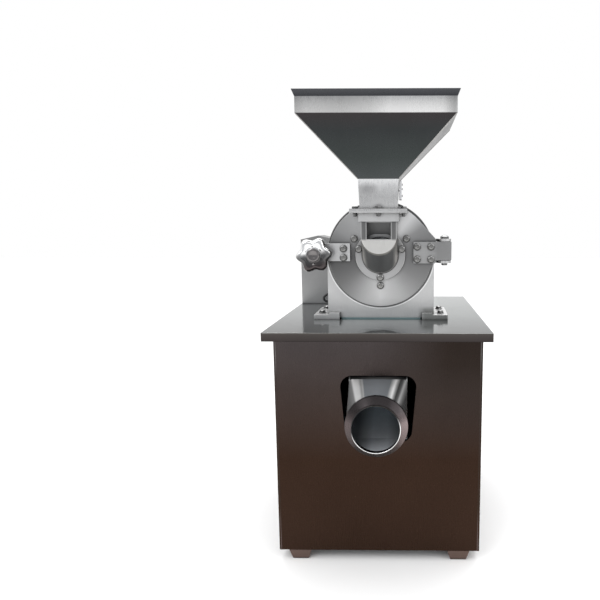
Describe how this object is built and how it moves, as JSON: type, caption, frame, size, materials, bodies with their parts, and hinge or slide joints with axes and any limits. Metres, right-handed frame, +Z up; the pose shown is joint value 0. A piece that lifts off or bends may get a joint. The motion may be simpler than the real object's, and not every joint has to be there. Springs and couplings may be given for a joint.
{
  "type": "hammer mill",
  "caption": "Small hammer mill on a stainless cabinet, with hopper, hinged door, feed gate, belt drive and front discharge chute.",
  "frame": {"origin": "middle of the footprint at floor level, at the bottom centre of the bounding box", "axes": "+Z up, -Y the front where the flour comes out, +X the hinge side"},
  "size_m": [0.55, 0.676, 1.169],
  "materials": {
    "frame_paint": "satin",
    "foot_paint": "satin",
    "cabinet_steel": "semi-mirror",
    "table_steel": "semi-mirror",
    "gasket_rubber": "matte",
    "housing_steel": "satin",
    "bright_steel": "polished",
    "machined_steel": "machined",
    "polished_steel": "polished",
    "collar_steel": "satin",
    "cast_iron": "cast",
    "guard_steel": "satin",
    "belt_rubber": "matte",
    "motor_paint": "gloss",
    "black_plastic": "matte",
    "cable_rubber": "matte",
    "hammer_steel": "worn",
    "door_steel": "brushed",
    "ring_steel": "satin",
    "strap_steel": "satin",
    "throat_steel": "satin",
    "neck_steel": "satin",
    "hopper_steel": "brushed",
    "knob_chrome": "polished",
    "gate_steel": "satin",
    "green_plastic": "gloss",
    "red_plastic": "gloss"
  },
  "bodies": {
    "root": {"cabinet_frame": "frame_paint", "feet": "foot_paint", "front_panel": "cabinet_steel", "left_side_panel": "cabinet_steel", "right_side_panel": "cabinet_steel", "rear_panel": "cabinet_steel", "table_top": "table_steel", "base_gasket": "gasket_rubber", "mill_housing": "housing_steel", "mill_feet": "housing_steel", "hold_down_bolts": "bright_steel", "screen_ring": "machined_steel", "discharge_chute": "polished_steel", "outlet_collar": "collar_steel", "hinge_bracket": "housing_steel", "hinge_pin": "bright_steel", "clamp_lug": "housing_steel", "bearing_housing": "cast_iron", "shaft_bearings": "bright_steel", "bearing_cover": "cast_iron", "drive_bolts": "bright_steel", "belt_guard": "guard_steel", "v_belts": "belt_rubber", "motor_body": "motor_paint", "motor_end_bells": "motor_paint", "fan_cowl": "motor_paint", "terminal_box": "motor_paint", "motor_rails": "frame_paint", "control_box": "guard_steel", "control_cover": "guard_steel", "cable_fittings": "black_plastic", "motor_cable": "cable_rubber"},
    "rotor": {"rotor_shaft": "machined_steel", "rotor_discs": "machined_steel", "hammer_pins": "machined_steel", "mill_pulley": "cast_iron"},
    "hammer_set_1": {"hammers_1": "hammer_steel"},
    "hammer_set_2": {"hammers_2": "hammer_steel"},
    "hammer_set_3": {"hammers_3": "hammer_steel"},
    "hammer_set_4": {"hammers_4": "hammer_steel"},
    "motor_rotor": {"motor_shaft": "machined_steel", "motor_fan": "black_plastic", "motor_pulley": "cast_iron"},
    "door": {"door_plate": "door_steel", "door_seal": "gasket_rubber", "inlet_ring": "ring_steel", "toothed_disc": "machined_steel", "door_bolts": "bright_steel", "hinge_strap": "strap_steel", "clamp_bracket": "strap_steel", "feed_throat": "throat_steel", "throat_collar": "strap_steel", "hopper_neck": "neck_steel", "flange_bolts": "bright_steel", "hopper": "hopper_steel"},
    "clamp_knob": {"star_knob": "knob_chrome", "clamp_stud": "bright_steel"},
    "gate": {"feed_gate": "gate_steel"},
    "start": {"start_button": "green_plastic"},
    "stop": {"stop_button": "red_plastic"}
  },
  "joints": [
    {"name": "rotor_spin", "type": "hinge", "parent": "root", "child": "rotor", "pos_m": [0, -0.05, 0.7865], "axis": [0, 1, 0], "continuous": true},
    {"name": "motor_spin", "type": "hinge", "parent": "root", "child": "motor_rotor", "pos_m": [0, 0, 0.2], "axis": [0, 1, 0], "continuous": true},
    {"name": "door_swing", "type": "hinge", "parent": "root", "child": "door", "pos_m": [0.171, -0.1, 0.794], "axis": [0, 0, 1], "range_deg": [0, 110]},
    {"name": "knob_turn", "type": "hinge", "parent": "door", "child": "clamp_knob", "pos_m": [-0.169, -0.14, 0.789], "axis": [0, -1, 0], "range_deg": [0, 900]},
    {"name": "gate_slide", "type": "slide", "parent": "door", "child": "gate", "axis": [1, 0, 0], "range_m": [0, 0.08]},
    {"name": "start_press", "type": "slide", "parent": "root", "child": "start", "axis": [0, 1, 0], "range_m": [0, 0.004], "stiffness_N_per_m": 400},
    {"name": "stop_press", "type": "slide", "parent": "root", "child": "stop", "axis": [0, 1, 0], "range_m": [0, 0.004], "stiffness_N_per_m": 400},
    {"name": "hammer_swing_1", "type": "hinge", "parent": "rotor", "child": "hammer_set_1", "pos_m": [0.04384, -0.05, 0.83034], "axis": [0, 1, 0], "continuous": true},
    {"name": "hammer_swing_2", "type": "hinge", "parent": "rotor", "child": "hammer_set_2", "pos_m": [-0.04384, -0.05, 0.83034], "axis": [0, 1, 0], "continuous": true},
    {"name": "hammer_swing_3", "type": "hinge", "parent": "rotor", "child": "hammer_set_3", "pos_m": [-0.04384, -0.05, 0.74266], "axis": [0, 1, 0], "continuous": true},
    {"name": "hammer_swing_4", "type": "hinge", "parent": "rotor", "child": "hammer_set_4", "pos_m": [0.04384, -0.05, 0.74266], "axis": [0, 1, 0], "continuous": true}
  ],
  "couplings": [
    {"joint": "motor_spin", "follows": "rotor_spin", "ratio": 0.64103}
  ]
}
